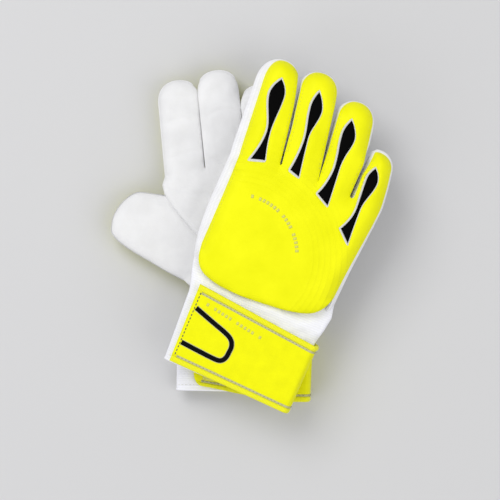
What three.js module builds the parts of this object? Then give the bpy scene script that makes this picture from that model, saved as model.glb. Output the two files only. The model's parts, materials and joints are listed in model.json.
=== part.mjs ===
import * as THREE from "three";

// A pair of goalkeeper gloves: the left one lies palm up, the right one lies across it, palm down.
// Each glove is drawn in its own frame: x towards the little finger, y towards the fingertips and
// z up, with the origin at the middle of the wrist strap. All sizes are in millimetres.

// Layers through a glove, counted from its palm face.
const GLOVE_THICKNESS = 22;
const PALM_FOAM = 4;
const BACK_FOAM = 5.5;
const LAYER_GAP = 0.35;
const EDGE_BEVEL = 1.2;
const GUSSET_WALL = 3;
const GUSSET_INSET = 1;
const KNUCKLE_GAP = 0.5;

// Wrist sleeve and strap.
const CUFF_THUMB_SIDE = { left: 50, right: 53 };
const CUFF_LITTLE_SIDE = 48;
const CUFF_WALL = 2;
const CUFF_SIDE_WALL = 3;
const CUFF_END_Y = -31;
const CUFF_TOP_Y = 38.2;
const STRAP_THICKNESS = 3;
const STRAP_BASE_END_X = -44;
const STRAP_BASE_Y = [-32, 22];
const TAPE_THICKNESS = 0.9;
const STRAP_BEVEL = 0.6;
const BINDING_WIDTH = 4;
const STRAP_FOLD_X = 49.6;
const STRAP_CORNERS = {
  topLeft: [-48.7, 34.5],
  topRight: [STRAP_FOLD_X, 23],
  bottomRight: [46.6, -30.4],
  bottomLeft: [-48.5, -26.1],
};
// Patches as [x, x, y, y]: loop tape on the sleeve and hook tape under the strap's free end.
const LOOP_PATCH = [-45, 5, -22, 20];
const HOOK_PATCH = [-44, -14, -20, 24];
// Middle line of the printed loop on the strap.
const MARK_LINE = [[-43.8, 17.9], [-16.1, 9.2], [-9.2, 2.2], [-9.4, -7.9], [-14, -13], [-45.9, -10.4]];
const MARK_STROKE = 3;
const MARK_HEIGHT = 0.4;

// The hand's outline as [x, y, corner radius]: its heel, then its little-finger side upwards.
const HEEL = [[-34, 39.2], [0, 39.6], [24, 41.6]];
const HEEL_CORNER = [38, 42.6, 5];
const LITTLE_SIDE = [[43, 56, 8], [48.5, 79], [51.5, 106]];
const THUMB_SIDE = [[0, 133, 6], [0.5, 62, 12]];
const THUMB_SIDE_X = { palm: -62.5, back: -60.5 };
const HEEL_START = [-45, 40.5, 6];
const SIDE_SPREAD = { palm: 2, back: 1 };
// Outer lines of the mesh walls on the two sides of the hand.
const LITTLE_WALL = [[42, 48], [49.5, 79], [52.3, 106], [53, 134]];
const THUMB_WALL = [[-56.5, 52], [-57, 137]];

// Fingers: the middle of the knuckle crease, lean from the y axis, width, and length to the tip.
const degrees = THREE.MathUtils.degToRad;
const FINGERS = {
  index: { knuckle: [-46, 141.5], lean: degrees(5.8), width: 31, length: 70.5, insert: [2.6, 56, 11] },
  middle: { knuckle: [-14.3, 149], lean: degrees(5.8), width: 28.4, length: 65, insert: [0, 50, 9.4] },
  ring: { knuckle: [15.2, 147.5], lean: degrees(2.8), width: 28, length: 56.5, insert: [-1, 41, 9.8] },
  little: { knuckle: [42.4, 137], lean: degrees(0.9), width: 23.6, length: 40, insert: [-1, 26, 8.4] },
};
// The palm-up glove's index finger curls a little, so it reaches less far.
const LEFT_INDEX_SHORTER = 5;
// Half width of a black wedge along its length, as shares of its greatest width and its length.
const WEDGE_PROFILE = [
  [0, 0.42], [0.18, 0.28], [0.36, 0.17], [0.5, 0.24], [0.66, 0.42], [0.8, 0.5], [0.92, 0.36],
];
const WEDGE_START = 3.5;
const TIP_TAPER = 0.1;
const TIP_STEPS = 8;

// Thumb: its root crease runs from near the index knuckle down to the heel of the hand.
const THUMB_ROOT = [[-58.5, 117], [-41, 55]];
const THUMB_OUTLINE = [[-82.5, 122, 14], [-102.5, 93.5, 9.5], [-93, 80.5, 6]];
const THUMB_MIDDLE = [-70, 92];
const THUMB_GUSSET_WALL = 4.5;
const THUMB_BEVEL = 0.8;
const THUMB_PIVOT = [-40, 72];
const THUMB_TUCK = degrees(80);
const TUCKED_THICKNESS = 9;
const TUCKED_PALM_FOAM = 2.8;
const TUCKED_BACK_FOAM = 3;

// How the two gloves lie.
const LEFT_PLACE = { x: 0, y: 0, z: 0, turn: 0, tilt: 0 };
const RIGHT_LIFT = 4.2;
const RIGHT_PLACE = {
  x: 0.9,
  y: 4.2,
  z: GLOVE_THICKNESS + RIGHT_LIFT,
  turn: degrees(-22),
  tilt: degrees(6.2),
};
const RIGHT_FINGER_DROOP = degrees(18);

const COLOURS = {
  latex: [0xebebee, 0.9],
  foam: [0xf4f408, 0.6],
  insert: [0x141414, 0.7],
  mesh: [0xf4f4f4, 0.8],
  elastic: [0xf7f7f7, 0.9],
  strap: [0xf2f205, 0.75],
  binding: [0xeaea10, 0.85],
  hook: [0x2c2c2c, 0.95],
  loop: [0xdcdcdc, 0.95],
  print: [0x101010, 0.45],
};

const pair = new THREE.Group();
pair.name = "goalkeeper_gloves";

// A closed outline from corners [x, y, radius]; a corner with no radius stays sharp.
function outline(corners) {
  const shape = new THREE.Shape();
  corners.forEach(([x, y, radius = 0], i) => {
    const corner = new THREE.Vector2(x, y);
    const before = new THREE.Vector2(...corners.at(i - 1).slice(0, 2));
    const after = new THREE.Vector2(...corners[(i + 1) % corners.length].slice(0, 2));
    const start = corner.clone().add(before.sub(corner).setLength(radius));
    const end = corner.clone().add(after.sub(corner).setLength(radius));
    if (i === 0) shape.moveTo(start.x, start.y);
    else shape.lineTo(start.x, start.y);
    if (radius > 0) shape.quadraticCurveTo(x, y, end.x, end.y);
  });
  shape.closePath();
  return shape;
}

function addMesh(body, name, geometry, finish) {
  const [color, roughness] = COLOURS[finish];
  const material = new THREE.MeshStandardMaterial({ color, roughness, metalness: 0 });
  const mesh = new THREE.Mesh(geometry, material);
  mesh.name = name;
  body.add(mesh);
}

// A flat panel of the outline between two heights, with its rims bevelled.
function addPanel(body, name, shape, [low, high], finish, bevel = EDGE_BEVEL) {
  const geometry = new THREE.ExtrudeGeometry(shape, {
    depth: high - low - 2 * bevel,
    bevelEnabled: bevel > 0,
    bevelThickness: bevel,
    bevelSize: bevel,
    bevelOffset: -bevel,
    bevelSegments: 1,
    curveSegments: 3,
  });
  geometry.translate(0, 0, low + bevel);
  addMesh(body, name, geometry, finish);
}

// Heights of the palm, gusset and back layers; the palm is on top when the glove lies palm up.
function layers(palmUp, bottom, thickness, palmFoam, backFoam) {
  const fromPalm = {
    palm: [0, palmFoam],
    gusset: [palmFoam + LAYER_GAP, thickness - backFoam - LAYER_GAP],
    back: [thickness - backFoam, thickness],
  };
  const heights = {};
  for (const [layer, [near, far]] of Object.entries(fromPalm)) {
    const range = palmUp ? [thickness - far, thickness - near] : [near, far];
    heights[layer] = range.map((z) => z + bottom);
  }
  return heights;
}

// One side of a finger from knuckle to tip, inset all round, as points with x >= 0.
function fingerSide(width, length, inset) {
  const radius = width / 2 - inset;
  const straight = length - width / 2;
  const points = [[radius, KNUCKLE_GAP]];
  for (let i = 0; i <= TIP_STEPS; i += 1) {
    const angle = (i / TIP_STEPS) * (Math.PI / 2);
    const y = straight + radius * Math.sin(angle);
    const taper = 1 - (TIP_TAPER * y) / length;
    points.push([radius * Math.cos(angle) * taper, y]);
  }
  return points;
}

function mirrored(points) {
  return points.map(([x, y]) => [-x, y]).reverse();
}

// The sides of a finger meet in one point at the tip, which is kept once.
function fingerLoop(width, length, inset) {
  const side = fingerSide(width, length, inset);
  return [...side, ...mirrored(side).slice(1)];
}

// Black wedge: pointed at the tip, swelling, pinched to a waist and flared at the knuckle.
function wedgeLoop([offset, length, width], inset) {
  const side = WEDGE_PROFILE.map(([along, reach], i) => {
    const rise = i === 0 ? inset : 0;
    return [reach * width - inset, WEDGE_START + along * (length - WEDGE_START) + rise];
  });
  const right = side.map(([x, y]) => [offset + x, y]);
  const left = side.map(([x, y]) => [offset - x, y]).reverse();
  return [...right, [offset, length - 2 * inset], ...left];
}

function hole(points) {
  return new THREE.Path(points.map(([x, y]) => new THREE.Vector2(x, y)));
}

function addFinger(glove, side, name, finger, heights, hingeHeight, droop) {
  const body = new THREE.Group();
  body.name = `${side}_${name}`;
  body.position.set(...finger.knuckle, hingeHeight);
  body.rotation.set(-droop, 0, finger.lean, "ZXY");
  glove.add(body);
  const lowered = (range) => range.map((z) => z - hingeHeight);
  const { width, length } = finger;
  const loop = fingerLoop(width, length, 0);
  addPanel(body, `${body.name}_palm`, outline(loop), lowered(heights.palm), "latex");
  const back = outline(loop);
  back.holes.push(hole(wedgeLoop(finger.insert, 0)));
  addPanel(body, `${body.name}_back`, back, lowered(heights.back), "foam", 0);
  const wedge = outline(wedgeLoop(finger.insert, LAYER_GAP));
  addPanel(body, `${body.name}_insert`, wedge, lowered(heights.back), "insert", 0);
  const outer = fingerLoop(width, length, GUSSET_INSET);
  const inner = fingerLoop(width, length, GUSSET_INSET + GUSSET_WALL).reverse();
  const wall = outline([...outer, ...inner]);
  addPanel(body, `${body.name}_gusset`, wall, lowered(heights.gusset), "mesh", 0);
}

// Knuckle crease ends of a finger, little-finger side first, set back from the finger by the gap.
function creaseEnds({ knuckle, lean, width }) {
  return [1, -1].map((sign) => [
    knuckle[0] + (sign * width * Math.cos(lean)) / 2 + KNUCKLE_GAP * Math.sin(lean),
    knuckle[1] + (sign * width * Math.sin(lean)) / 2 - KNUCKLE_GAP * Math.cos(lean),
  ]);
}

// The hand between wrist and knuckles; thumb side corners run round a thumb root when it is given.
function handLoop(fingers, spread, thumbSide) {
  const [cornerX, ...corner] = HEEL_CORNER;
  const littleSide = LITTLE_SIDE.map(([x, ...rest]) => [x + spread, ...rest]);
  const creases = ["little", "ring", "middle", "index"].flatMap((name) => creaseEnds(fingers[name]));
  return [...HEEL, [cornerX + spread / 2, ...corner], ...littleSide, ...creases, ...thumbSide];
}

// A strip beside an open line, to its left by the given width.
function band(line, width) {
  return [...line, ...line.map(([x, y]) => [x - width, y]).reverse()];
}

function addHand(glove, side, fingers, palmUp, heights) {
  const body = new THREE.Group();
  body.name = `${side}_hand`;
  glove.add(body);
  const plainSide = (x) => [...THUMB_SIDE.map(([dx, ...rest]) => [x + dx, ...rest]), HEEL_START];
  const rootSide = [
    [-61.5, 133, 4], [-60.5, 122, 3],
    ...THUMB_ROOT.map(([x, y]) => [x + KNUCKLE_GAP, y]), [-43, 40.5, 4],
  ];
  const loopOf = (layer) => {
    const thumbSide = palmUp ? rootSide : plainSide(THUMB_SIDE_X[layer]);
    return outline(handLoop(fingers, SIDE_SPREAD[layer], thumbSide));
  };
  addPanel(body, `${side}_palm_panel`, loopOf("palm"), heights.palm, "latex", 0);
  addPanel(body, `${side}_back_panel`, loopOf("back"), heights.back, "foam", 0);
  const littleWall = outline(band(LITTLE_WALL, GUSSET_WALL));
  addPanel(body, `${side}_hand_edge`, littleWall, heights.gusset, "mesh", 0);
  if (!palmUp) {
    const thumbWall = outline(band(THUMB_WALL, GUSSET_WALL).reverse());
    addPanel(body, `${side}_thumb_edge`, thumbWall, heights.gusset, "mesh", 0);
  }
  return body;
}

// A profile of [x, z, radius] corners swept along y.
function addSweep(body, name, corners, holes, [start, end], finish) {
  const shape = outline(corners.map(([x, z, radius]) => [x, -z, radius]).reverse());
  holes.forEach((loop) => shape.holes.push(hole(loop.map(([x, z]) => [x, -z]))));
  const depth = end - start;
  const geometry = new THREE.ExtrudeGeometry(shape, { depth, bevelEnabled: false, curveSegments: 3 });
  geometry.rotateX(-Math.PI / 2);
  geometry.translate(0, start, 0);
  addMesh(body, name, geometry, finish);
}

// Heights of the wrist layers, counted from the palm face like the hand's.
function wristLayers(palmUp) {
  const flapLow = GLOVE_THICKNESS - STRAP_THICKNESS;
  const hookLow = flapLow - TAPE_THICKNESS - LAYER_GAP;
  const loopLow = hookLow - TAPE_THICKNESS - LAYER_GAP;
  const fromPalm = {
    base: [0, STRAP_THICKNESS],
    cuff: [STRAP_THICKNESS + LAYER_GAP, loopLow - LAYER_GAP],
    loop: [loopLow, loopLow + TAPE_THICKNESS],
    hook: [hookLow, hookLow + TAPE_THICKNESS],
    flap: [flapLow, GLOVE_THICKNESS],
  };
  const flip = ([near, far]) => [GLOVE_THICKNESS - far, GLOVE_THICKNESS - near];
  const pairs = Object.entries(fromPalm).map(([key, range]) => [key, palmUp ? flip(range) : range]);
  return Object.fromEntries(pairs);
}

function rectangle([x0, x1, y0, y1]) {
  return [[x0, y0], [x1, y0], [x1, y1], [x0, y1]];
}

// Elastic sleeve round the wrist, open at both ends, and the strap base that wraps under it.
function addWrist(body, side, palmUp, wrist) {
  const start = -CUFF_THUMB_SIDE[side];
  const end = CUFF_LITTLE_SIDE;
  const [low, high] = wrist.cuff;
  const round = (high - low) / 3;
  const outer = rectangle([start, end, low, high]).map(([x, z]) => [x, z, round]);
  const inner = rectangle([
    start + CUFF_SIDE_WALL, end - CUFF_SIDE_WALL, low + CUFF_WALL, high - CUFF_WALL,
  ]);
  addSweep(body, `${side}_cuff`, outer, [inner], [CUFF_END_Y, CUFF_TOP_Y], "elastic");

  const foldTop = palmUp ? wrist.flap[1] + LAYER_GAP : wrist.flap[0] - LAYER_GAP;
  const [face, inside] = palmUp ? [...wrist.base].reverse() : wrist.base;
  const foldIn = end + 2 * LAYER_GAP;
  const foldOut = foldIn + STRAP_THICKNESS;
  const elbow = [
    [STRAP_BASE_END_X, face], [foldOut, face, STRAP_THICKNESS], [foldOut, foldTop],
    [foldIn, foldTop], [foldIn, inside], [STRAP_BASE_END_X, inside],
  ];
  addSweep(body, `${side}_strap_base`, elbow, [], STRAP_BASE_Y, "strap");

  const loopPatch = outline(rectangle(LOOP_PATCH));
  addPanel(body, `${side}_loop_patch`, loopPatch, wrist.loop, "loop", 0);
}

function between(a, b, t) {
  return [a[0] + (b[0] - a[0]) * t, a[1] + (b[1] - a[1]) * t];
}

// The part of the strap that opens. It turns about the fold at the little-finger side.
function addStrapFlap(glove, side, palmUp, wrist) {
  const { topLeft, topRight, bottomRight, bottomLeft } = STRAP_CORNERS;
  const [low, high] = wrist.flap;
  const hingeHeight = (low + high) / 2;
  const body = new THREE.Group();
  body.name = `${side}_strap`;
  body.position.set(...bottomRight, hingeHeight);
  const foldLean = Math.atan2(topRight[0] - bottomRight[0], topRight[1] - bottomRight[1]);
  body.rotation.set(0, 0, -foldLean);
  glove.add(body);
  const local = ([x, y]) => {
    const point = new THREE.Vector2(x - bottomRight[0], y - bottomRight[1]);
    point.rotateAround(new THREE.Vector2(), foldLean);
    return [point.x, point.y];
  };
  const lowered = (range) => range.map((z) => z - hingeHeight);
  const length = topLeft[1] - bottomLeft[1];
  const edge = BINDING_WIDTH / length;
  const seam = (BINDING_WIDTH + LAYER_GAP) / length;
  const strip = (from, to) => [
    between(bottomLeft, topLeft, from), between(bottomRight, topRight, from),
    between(bottomRight, topRight, to), between(bottomLeft, topLeft, to),
  ].map(local);
  const addStrip = (name, from, to, finish) => {
    addPanel(body, `${side}_${name}`, outline(strip(from, to)), lowered(wrist.flap), finish, STRAP_BEVEL);
  };
  addStrip("strap_flap", seam, 1 - seam, "strap");
  addStrip("binding_lower", 0, edge, "binding");
  addStrip("binding_upper", 1 - edge, 1, "binding");
  const hookPatch = rectangle(HOOK_PATCH).map(local);
  addPanel(body, `${side}_hook_patch`, outline(hookPatch), lowered(wrist.hook), "hook", 0);
  if (!palmUp) {
    const top = lowered(wrist.flap)[1] + LAYER_GAP;
    addPanel(body, `${side}_strap_mark`, markShape(local), [top, top + MARK_HEIGHT], "print", 0);
  }
}

// The line moved sideways by a distance, with its corners mitred.
function beside(line, distance) {
  return line.map((point, i) => {
    const before = new THREE.Vector2(...line[Math.max(i - 1, 0)]);
    const here = new THREE.Vector2(...point);
    const after = new THREE.Vector2(...line[Math.min(i + 1, line.length - 1)]);
    const steps = [here.clone().sub(before), after.sub(here)].filter((step) => step.length() > 0);
    const [first, last] = [steps[0].normalize(), steps.at(-1).normalize()];
    const normal = new THREE.Vector2(-first.y - last.y, first.x + last.x).normalize();
    const mitre = distance / (normal.x * -first.y + normal.y * first.x);
    return [here.x + normal.x * mitre, here.y + normal.y * mitre];
  });
}

// A loop of raised print on the strap, open towards the thumb side.
function markShape(local) {
  const outer = beside(MARK_LINE, MARK_STROKE / 2);
  const inner = beside(MARK_LINE, -MARK_STROKE / 2).reverse();
  return outline([...outer, ...inner].map(local));
}

// Left thumb spreads in the plane of the hand and folds up about its root crease.
function addSpreadThumb(glove, heights) {
  const [upper, lower] = THUMB_ROOT;
  const along = new THREE.Vector2(upper[0] - lower[0], upper[1] - lower[1]);
  const turn = Math.atan2(along.y, along.x);
  const body = new THREE.Group();
  body.name = "left_thumb";
  body.position.set(...lower, GLOVE_THICKNESS);
  body.rotation.set(0, 0, turn);
  glove.add(body);
  const local = ([x, y, radius]) => {
    const point = new THREE.Vector2(x - lower[0], y - lower[1]);
    point.rotateAround(new THREE.Vector2(), -turn);
    return [point.x, Math.max(point.y, KNUCKLE_GAP), radius];
  };
  addThumbLayers(body, local, heights, -GLOVE_THICKNESS);
}

// Right thumb lies flat under the palm and swings out sideways about its pivot.
function addTuckedThumb(glove, heights) {
  const body = new THREE.Group();
  body.name = "right_thumb";
  body.position.set(...THUMB_PIVOT, 0);
  glove.add(body);
  const local = ([x, y, radius]) => {
    const point = new THREE.Vector2(x - THUMB_PIVOT[0], y - THUMB_PIVOT[1]);
    point.rotateAround(new THREE.Vector2(), -THUMB_TUCK);
    return [point.x, point.y, radius];
  };
  addThumbLayers(body, local, heights, 0);
}

function addThumbLayers(body, local, heights, rise) {
  const [upper, lower] = THUMB_ROOT;
  const loop = [upper, ...THUMB_OUTLINE, lower].map(local);
  const lifted = (range) => range.map((z) => z + rise);
  addPanel(body, `${body.name}_palm`, outline(loop), lifted(heights.palm), "latex", THUMB_BEVEL);
  addPanel(body, `${body.name}_back`, outline(loop), lifted(heights.back), "foam", THUMB_BEVEL);
  const wall = [upper, ...THUMB_OUTLINE, lower];
  const shrink = (by) => wall.map(([x, y, radius = 0]) => {
    const reach = Math.hypot(x - THUMB_MIDDLE[0], y - THUMB_MIDDLE[1]);
    return [...between([x, y], THUMB_MIDDLE, by / reach), Math.max(radius - by, 0)];
  });
  const outer = shrink(GUSSET_INSET);
  const inner = shrink(GUSSET_INSET + THUMB_GUSSET_WALL).reverse();
  const gusset = outline([...outer, ...inner].map(local));
  addPanel(body, `${body.name}_gusset`, gusset, lifted(heights.gusset), "mesh", 0);
}

function addGlove(side, palmUp, place) {
  const glove = new THREE.Group();
  glove.name = `${side}_glove`;
  glove.position.set(place.x, place.y, place.z);
  glove.rotation.set(place.tilt, 0, place.turn, "ZXY");
  pair.add(glove);

  const fingers = structuredClone(FINGERS);
  if (palmUp) fingers.index.length -= LEFT_INDEX_SHORTER;
  const heights = layers(palmUp, 0, GLOVE_THICKNESS, PALM_FOAM, BACK_FOAM);
  const hand = addHand(glove, side, fingers, palmUp, heights);
  const hingeHeight = palmUp ? GLOVE_THICKNESS : 0;
  for (const [name, finger] of Object.entries(fingers)) {
    addFinger(glove, side, name, finger, heights, hingeHeight, palmUp ? 0 : RIGHT_FINGER_DROOP);
  }
  const wrist = wristLayers(palmUp);
  addWrist(hand, side, palmUp, wrist);
  addStrapFlap(glove, side, palmUp, wrist);
  if (palmUp) {
    addSpreadThumb(glove, heights);
  } else {
    const under = -TUCKED_THICKNESS - LAYER_GAP;
    addTuckedThumb(glove, layers(false, under, TUCKED_THICKNESS, TUCKED_PALM_FOAM, TUCKED_BACK_FOAM));
  }
}

addGlove("left", true, LEFT_PLACE);
addGlove("right", false, RIGHT_PLACE);

// The origin sits under the middle of the pair, on the ground.
pair.updateMatrixWorld(true);
const bounds = new THREE.Box3().setFromObject(pair, true);
const centre = bounds.getCenter(new THREE.Vector3());
pair.children.forEach((glove) => glove.position.sub(new THREE.Vector3(centre.x, centre.y, bounds.min.z)));

export default pair;
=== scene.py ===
import json
import math

import bpy
import numpy as np
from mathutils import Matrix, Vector
from mathutils.geometry import delaunay_2d_cdt


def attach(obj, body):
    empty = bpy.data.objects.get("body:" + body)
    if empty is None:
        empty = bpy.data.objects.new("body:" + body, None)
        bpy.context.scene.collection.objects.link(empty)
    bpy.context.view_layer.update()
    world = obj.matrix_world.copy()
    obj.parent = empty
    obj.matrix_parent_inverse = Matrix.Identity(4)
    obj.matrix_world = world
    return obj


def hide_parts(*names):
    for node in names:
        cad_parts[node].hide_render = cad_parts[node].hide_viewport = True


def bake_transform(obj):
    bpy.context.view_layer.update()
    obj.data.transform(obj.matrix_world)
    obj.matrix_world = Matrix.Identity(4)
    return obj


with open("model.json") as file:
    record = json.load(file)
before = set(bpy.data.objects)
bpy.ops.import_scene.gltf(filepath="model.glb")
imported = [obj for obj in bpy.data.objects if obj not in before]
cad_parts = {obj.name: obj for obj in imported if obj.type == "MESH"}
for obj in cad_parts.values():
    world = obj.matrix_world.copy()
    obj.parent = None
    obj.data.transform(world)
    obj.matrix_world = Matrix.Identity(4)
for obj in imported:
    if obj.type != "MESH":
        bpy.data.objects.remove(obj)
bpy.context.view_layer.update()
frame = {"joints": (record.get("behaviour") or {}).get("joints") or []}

# Each glove is drawn in its own frame, in millimetres: x towards the little finger, y towards the
# fingertips, and h from the palm face to the back of the hand. The left glove lies palm up, so its
# h runs downwards.
MM = 0.001
THICK = 22.0
TURN = math.radians(-22.0)
TILT = math.radians(6.2)
DROOP = math.radians(18.0)
BEND = 12.0
FOAM = 4.6
LATEX = 3.4
GRID = 1.7
CAD_KNUCKLE = (-46.0, 141.5)


def finger(knuckle, lean, width, length, taper, inset, bow=0.0):
    """A finger: its knuckle, lean in degrees, size, and how far the foam lies inside its outline.

    The inset is given for the left side, the right side and the tip. The bow is how far the tip
    curves sideways.
    """
    return dict(knuckle=knuckle, lean=math.radians(lean), width=width, length=length, taper=taper,
                inset=inset, bow=bow)


NAMES = ("index", "middle", "ring", "little")
FINGERS = {
    "left": {
        "index": finger((-43.8, 141.5), 5.4, 31.4, 65.4, 0.02, (1.5, 0.5, 0.6)),
        "middle": finger((-13.7, 149.0), 6.3, 32.0, 65.6, 0.03, (1.2, 0.5, 0.6)),
        "ring": finger((15.2, 147.5), 3.4, 30.6, 56.0, 0.04, (1.2, 0.5, 0.6)),
        "little": finger((42.4, 137.0), 0.9, 24.0, 39.0, 0.06, (1.2, 0.5, 0.6)),
    },
    "right": {
        "index": finger((-46.2, 141.5), 5.8, 37.4, 70.6, 0.18, (6.3, 0.3, 0.9), -0.5),
        "middle": finger((-12.6, 149.0), 7.4, 31.5, 65.0, 0.11, (1.3, 0.3, 0.4), -2.9),
        "ring": finger((16.6, 147.5), 5.0, 31.2, 55.7, 0.12, (1.8, 0.3, 0.5), -1.7),
        "little": finger((42.3, 137.0), 0.9, 24.8, 38.3, 0.13, (2.8, 0.4, 2.4), -3.0),
    },
}
# Black wedges in each finger's own frame: apex, swelling and waist as (across, along, width),
# then the two corners of the flared base.
WEDGES = {
    "index": dict(apex=(1.9, 54.5), swell=(1.7, 41.2, 12.2), waist=(3.5, 12.0, 3.4),
                  corners=((-4.9, -7.4), (7.7, -5.4))),
    "middle": dict(apex=(-1.3, 49.0), swell=(-0.3, 34.0, 9.9), waist=(-1.9, 11.5, 3.4),
                   corners=((-8.3, -9.6), (0.5, -12.8))),
    "ring": dict(apex=(-3.2, 39.5), swell=(-2.0, 25.0, 10.9), waist=(-3.4, 3.0, 4.6),
                 corners=((-12.4, -15.8), (-1.5, -23.0))),
    "little": dict(apex=(-2.5, 22.8), swell=(-1.7, 11.5, 9.4), waist=(-3.8, -6.8, 3.6),
                   corners=((-11.4, -23.6), (-1.3, -33.4))),
}
# The sheets are cut along this line across the knuckles, and along the creases between fingers.
# A crease starts at its foot and leans and curves; the gap at it opens towards the tips.
KNUCKLE_CUT = [(-75.0, 122.0), (-29.5, 125.0), (1.2, 118.0), (29.4, 100.0), (66.0, 89.0)]


def crease(foot, slope, curve, gap, spread):
    return dict(foot=foot, slope=slope, curve=curve, gap=gap, spread=spread)


CREASES = {
    "left": [crease((-29.6, 141.0), -0.096, 0.0, -0.3, 0.0), crease((1.6, 143.0), -0.08, 0.0, -0.3, 0.0),
             crease((29.6, 138.0), -0.03, 0.0, 0.0, 0.0)],
    "right": [crease((-27.4, 139.5), -0.075, -0.0016, 0.1, 0.010),
              crease((3.6, 138.5), -0.155, 0.0, 0.1, 0.010), crease((29.4, 136.5), 0.07, 0.0, 0.1, 0.012)],
}
# Beside its neighbour a finger rolls off less than on its free side.
CREASE_SHARE = {"left": 0.72, "right": 0.5}


def crease_x(line, y):
    d = np.asarray(y) - line["foot"][1]
    return line["foot"][0] + line["slope"] * d + line["curve"] * np.maximum(d, 0) ** 2


def joint(name):
    return next(j for j in frame["joints"] if j["name"] == name)


class Glove:
    """One glove: where it lies, and how its own frame maps to the scene."""

    def __init__(self, side):
        self.side = side
        self.palm_up = side == "left"
        turn, tilt = (0.0, 0.0) if self.palm_up else (TURN, TILT)
        ct, st, ci, si = math.cos(turn), math.sin(turn), math.cos(tilt), math.sin(tilt)
        self.axes = np.array([[ct, st, 0.0], [-st * ci, ct * ci, si], [st * si, -ct * si, ci]])
        self.fingers = FINGERS[side]
        self.creases = CREASES[side]
        pivot = np.array(joint(f"{side}_index_curl")["pos_m"])
        local = np.array([*CAD_KNUCKLE, THICK if self.palm_up else 0.0])
        self.origin = pivot - (local * MM) @ self.axes
        self.droop = 0.0 if self.palm_up else DROOP

    def place(self, points):
        points = np.array(points, dtype=float).reshape(-1, 3).copy()
        if self.palm_up:
            points[:, 2] = THICK - points[:, 2]
        return self.origin + (points * MM) @ self.axes

    def finger_frame(self, name):
        f = self.fingers[name]
        c, s = math.cos(f["lean"]), math.sin(f["lean"])
        return np.array(f["knuckle"]), np.array([[c, s], [-s, c]])

    def to_finger(self, name, points):
        knuckle, axes = self.finger_frame(name)
        return (np.asarray(points)[:, :2] - knuckle) @ axes.T

    def from_finger(self, name, points):
        knuckle, axes = self.finger_frame(name)
        return knuckle + np.asarray(points)[:, :2] @ axes

    def bent(self, name, points):
        """Droop a finger about its knuckle along a short arc, without stretching its palm face."""
        along = self.to_finger(name, points)
        h = points[:, 2]
        radius = 2 * BEND / self.droop
        angle = np.clip((along[:, 1] + BEND) / (2 * BEND), 0.0, 1.0) * self.droop
        past = np.maximum(along[:, 1] - BEND, 0.0)
        before = np.minimum(along[:, 1], -BEND)
        y = before + (radius + h) * np.sin(angle) + past * np.cos(angle)
        z = -radius + (radius + h) * np.cos(angle) - past * np.sin(angle)
        flat = self.from_finger(name, np.stack([along[:, 0], y], axis=1))
        return np.column_stack([flat, z])

    def bend(self, name, points):
        """The droop of a finger, shared with its neighbours where their sheets join."""
        if self.droop == 0.0:
            return points
        own = self.bent(name, points)
        place = NAMES.index(name)
        for line, other in ((place - 1, place - 1), (place, place + 1)):
            if not 0 <= line < len(self.creases):
                continue
            seam = self.creases[line]
            near = np.abs(points[:, 0] - crease_x(seam, points[:, 1]))
            above = points[:, 1] - seam["foot"][1]
            share = 0.5 * (1 - smooth(near / 9.0)) * (1 - smooth(above / 6.0))
            own = own + (self.bent(NAMES[other], points) - self.bent(name, points)) * share[:, None]
        return own

    def region_of(self, x, y):
        """The piece a point of a sheet belongs to: the hand or one finger."""
        if y < np.interp(x, *zip(*KNUCKLE_CUT)):
            return "hand"
        for name, line in zip(NAMES, self.creases):
            if x < crease_x(line, y):
                return name
        return "little"


def smooth(t):
    t = np.clip(t, 0.0, 1.0)
    return t * t * (3 - 2 * t)


def run_lengths(path):
    return np.r_[0, np.cumsum(np.linalg.norm(np.diff(path, axis=0), axis=1))]


def at_even_steps(path, count):
    lengths = run_lengths(path)
    at = np.linspace(0, lengths[-1], count)
    return np.column_stack([np.interp(at, lengths, path[:, k]) for k in range(path.shape[1])])


def resample(points, step, closed=False):
    """Points at an even step along a path."""
    points = np.asarray(points, dtype=float)
    if closed:
        points = np.vstack([points, points[:1]])
    out = at_even_steps(points, max(int(round(run_lengths(points)[-1] / step)), 2) + 1)
    return out[:-1] if closed else out


def unit(rows):
    return rows / np.maximum(np.linalg.norm(rows, axis=1), 1e-9)[:, None]


def sideways(path):
    """Unit steps to the left of the way a path runs."""
    ahead = np.gradient(np.asarray(path)[:, :2], axis=0)
    return unit(np.column_stack([-ahead[:, 1], ahead[:, 0]]))


def grid_faces(rows, columns, close_rows=False, close_columns=False):
    """Quads between the points of a grid that is listed row by row."""
    faces = []
    for r in range(rows if close_rows else rows - 1):
        s = (r + 1) % rows
        for c in range(columns if close_columns else columns - 1):
            d = (c + 1) % columns
            faces.append((r * columns + c, r * columns + d, s * columns + d, s * columns + c))
    return faces


def spline(points, per_span=8):
    """A smooth curve through the points (Catmull-Rom)."""
    p = np.asarray(points, dtype=float)
    p = np.vstack([2 * p[0] - p[1], p, 2 * p[-1] - p[-2]])
    out = []
    for i in range(1, len(p) - 2):
        for t in np.linspace(0, 1, per_span, endpoint=False):
            a, b, c, d = p[i - 1], p[i], p[i + 1], p[i + 2]
            out.append(0.5 * (2 * b + (c - a) * t + (2 * a - 5 * b + 4 * c - d) * t**2
                              + (3 * b - a - 3 * c + d) * t**3))
    out.append(p[-2])
    return np.array(out)


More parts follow.
